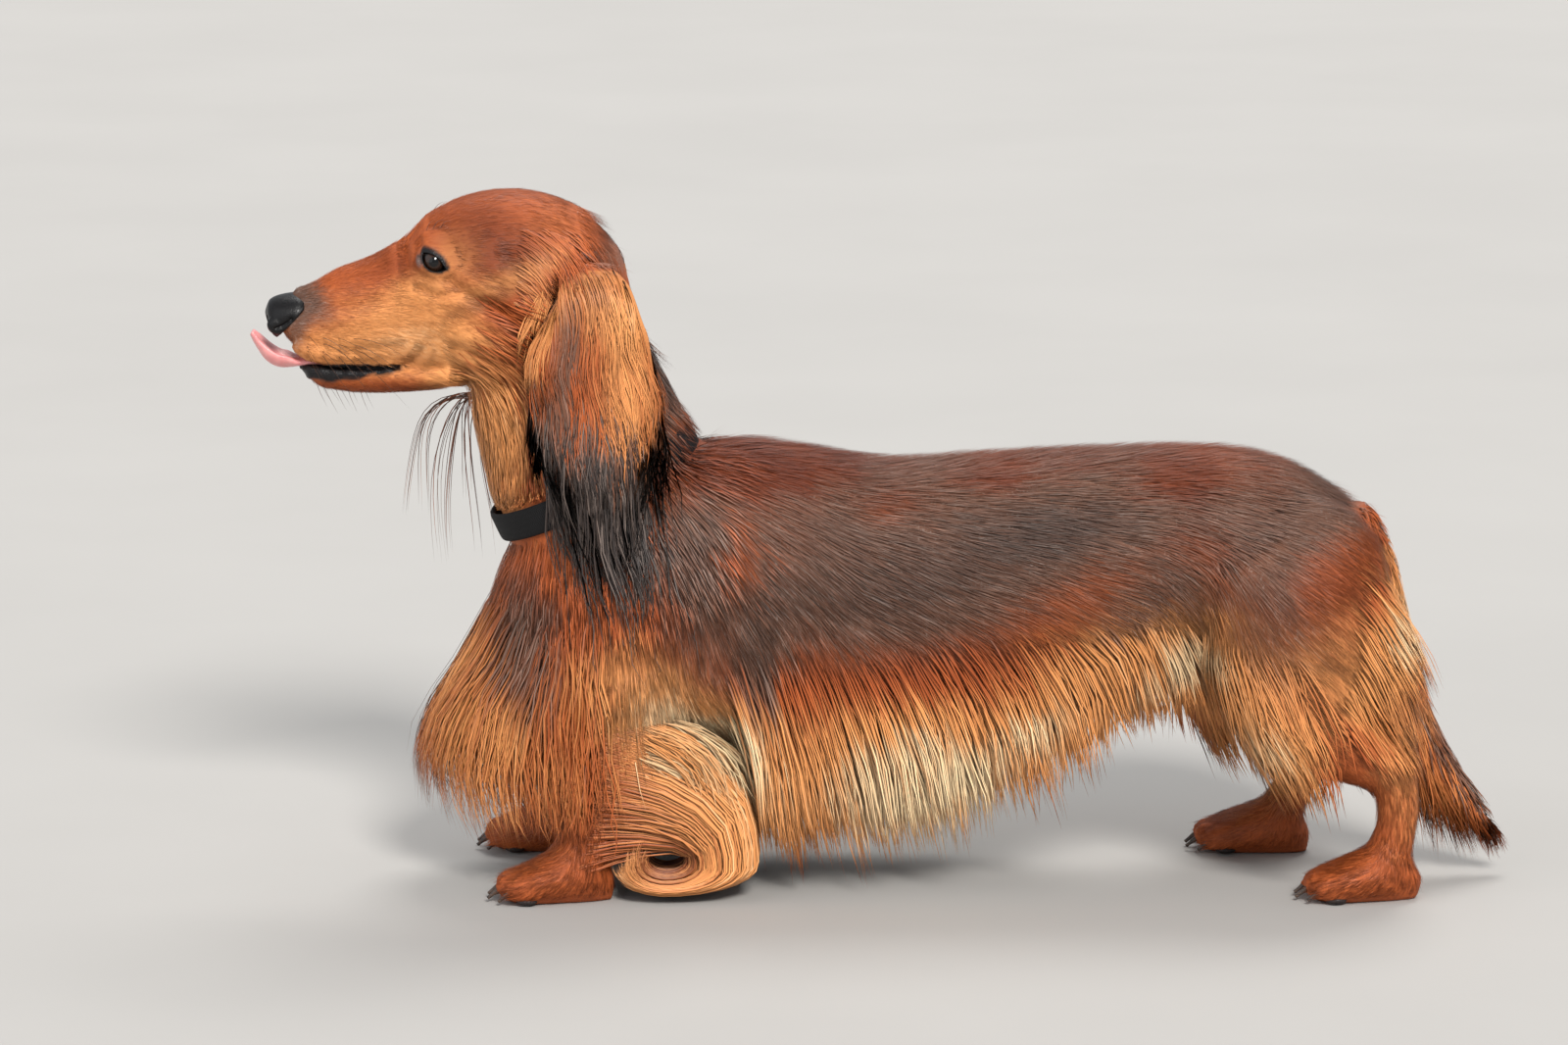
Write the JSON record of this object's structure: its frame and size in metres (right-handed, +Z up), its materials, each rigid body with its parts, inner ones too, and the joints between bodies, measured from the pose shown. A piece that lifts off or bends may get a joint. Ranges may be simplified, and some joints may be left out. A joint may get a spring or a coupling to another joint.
{
  "type": "long-haired dachshund model",
  "caption": "Life-size still model of a standing long-haired dachshund with a red and sable coat, feathered ears, legs, belly and tail, a plain collar and its tongue curled out.",
  "frame": {"origin": "middle of the model's box on the floor, under the belly", "axes": "the dog faces -X, its left side is -Y, +Z is up"},
  "size_m": [0.6749, 0.1779, 0.3799],
  "materials": {
    "coat_red": "long silky hair, mahogany red",
    "coat_gold": "long silky hair, gold",
    "coat_sable": "long silky hair, near black over red",
    "nose_leather": "moist pebbled black skin",
    "tongue": "moist pink",
    "eye": "wet, dark brown",
    "collar": "plain black"
  },
  "bodies": {
    "root": {"head": "coat_red", "lower_jaw": "coat_red", "eye_left": "eye", "eye_right": "eye", "nose": "nose_leather", "tongue": "tongue", "neck": "coat_red", "collar": "collar", "chest": "coat_gold", "barrel": "coat_red", "rump": "coat_red", "tail": "coat_sable", "ear_left": "coat_sable", "ear_right": "coat_sable", "foreleg_left": "coat_red", "foreleg_right": "coat_red", "forepaw_left": "coat_red", "forepaw_right": "coat_red", "hindleg_left": "coat_red", "hindleg_right": "coat_red", "hindpaw_left": "coat_red", "hindpaw_right": "coat_red"}
  },
  "joints": []
}
